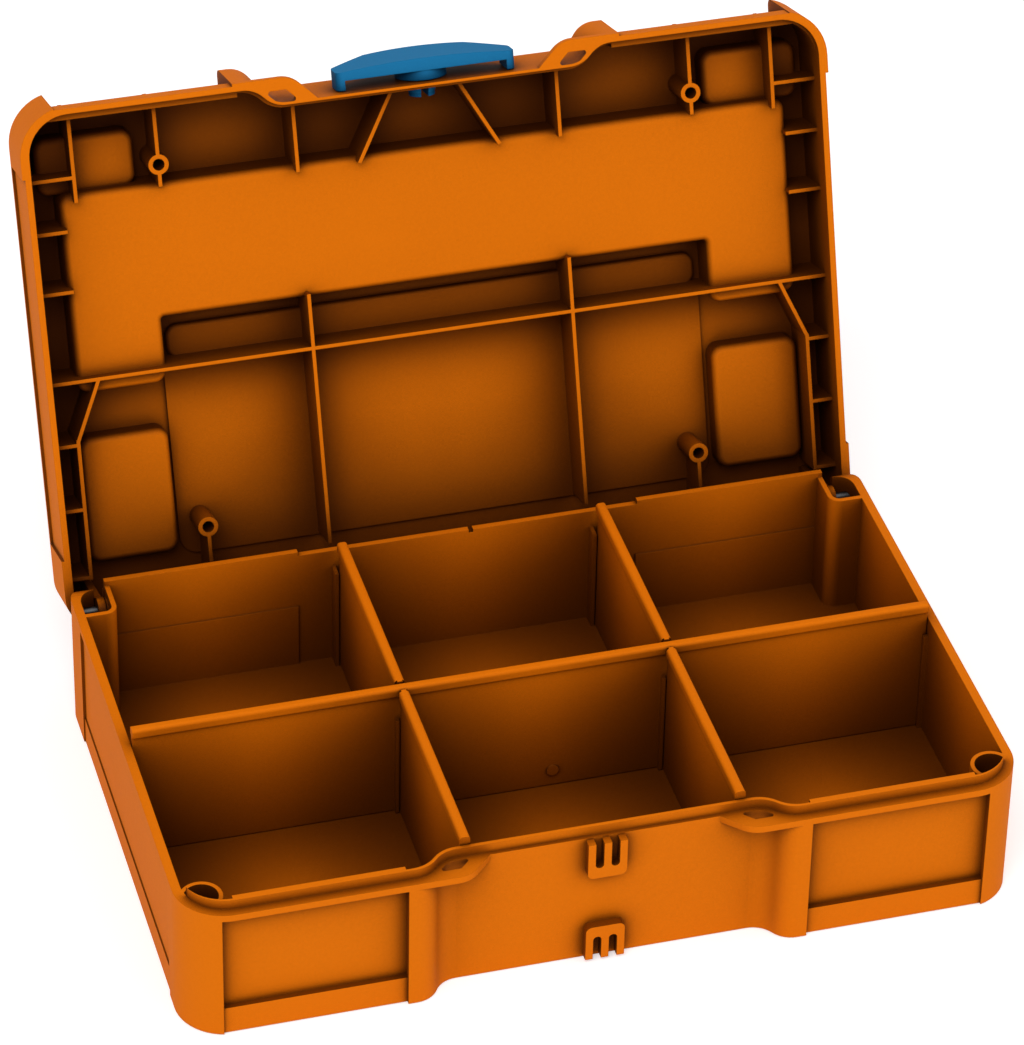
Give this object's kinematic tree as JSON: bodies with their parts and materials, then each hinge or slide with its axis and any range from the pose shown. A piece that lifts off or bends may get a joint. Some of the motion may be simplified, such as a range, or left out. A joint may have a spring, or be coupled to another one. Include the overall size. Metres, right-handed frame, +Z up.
{
  "type": "stackable tool case",
  "caption": "Small stackable tool case with an open hinged lid, a turning latch lever and lift-out dividers that part the tray into compartments.",
  "frame": {"origin": "centre of the case's footprint on the surface that the base stands on", "axes": "+X to the right along the width, +Y from the latch side to the hinge side, +Z up"},
  "size_m": [0.265, 0.2452, 0.1922],
  "materials": {
    "case_plastic": "satin",
    "lever_plastic": "satin",
    "pin_steel": "satin"
  },
  "bodies": {
    "base": {"base_shell": "case_plastic", "hinge_pin_left": "pin_steel", "hinge_pin_right": "pin_steel"},
    "lid": {"lid_shell": "case_plastic"},
    "lever": {"latch_lever": "lever_plastic"},
    "long_divider": {"divider_long": "case_plastic"},
    "front_left_divider": {"divider_front_left": "case_plastic"},
    "front_right_divider": {"divider_front_right": "case_plastic"},
    "back_left_divider": {"divider_back_left": "case_plastic"},
    "back_right_divider": {"divider_back_right": "case_plastic"}
  },
  "joints": [
    {"name": "lid_hinge", "type": "hinge", "parent": "base", "child": "lid", "pos_m": [0, 0.078, 0.04], "axis": [-1, 0, 0], "range_deg": [-109, 0]},
    {"name": "lever_turn", "type": "hinge", "parent": "lid", "child": "lever", "pos_m": [0, 0.14612, 0.181], "axis": [0, -0.3256, -0.9455], "range_deg": [0, 90]},
    {"name": "long_divider_lift", "type": "slide", "parent": "base", "child": "long_divider", "axis": [0, 0, 1], "range_m": [0, 0.06]},
    {"name": "front_left_divider_lift", "type": "slide", "parent": "base", "child": "front_left_divider", "axis": [0, 0, 1], "range_m": [0, 0.06]},
    {"name": "front_right_divider_lift", "type": "slide", "parent": "base", "child": "front_right_divider", "axis": [0, 0, 1], "range_m": [0, 0.06]},
    {"name": "back_left_divider_lift", "type": "slide", "parent": "base", "child": "back_left_divider", "axis": [0, 0, 1], "range_m": [0, 0.06]},
    {"name": "back_right_divider_lift", "type": "slide", "parent": "base", "child": "back_right_divider", "axis": [0, 0, 1], "range_m": [0, 0.06]}
  ]
}
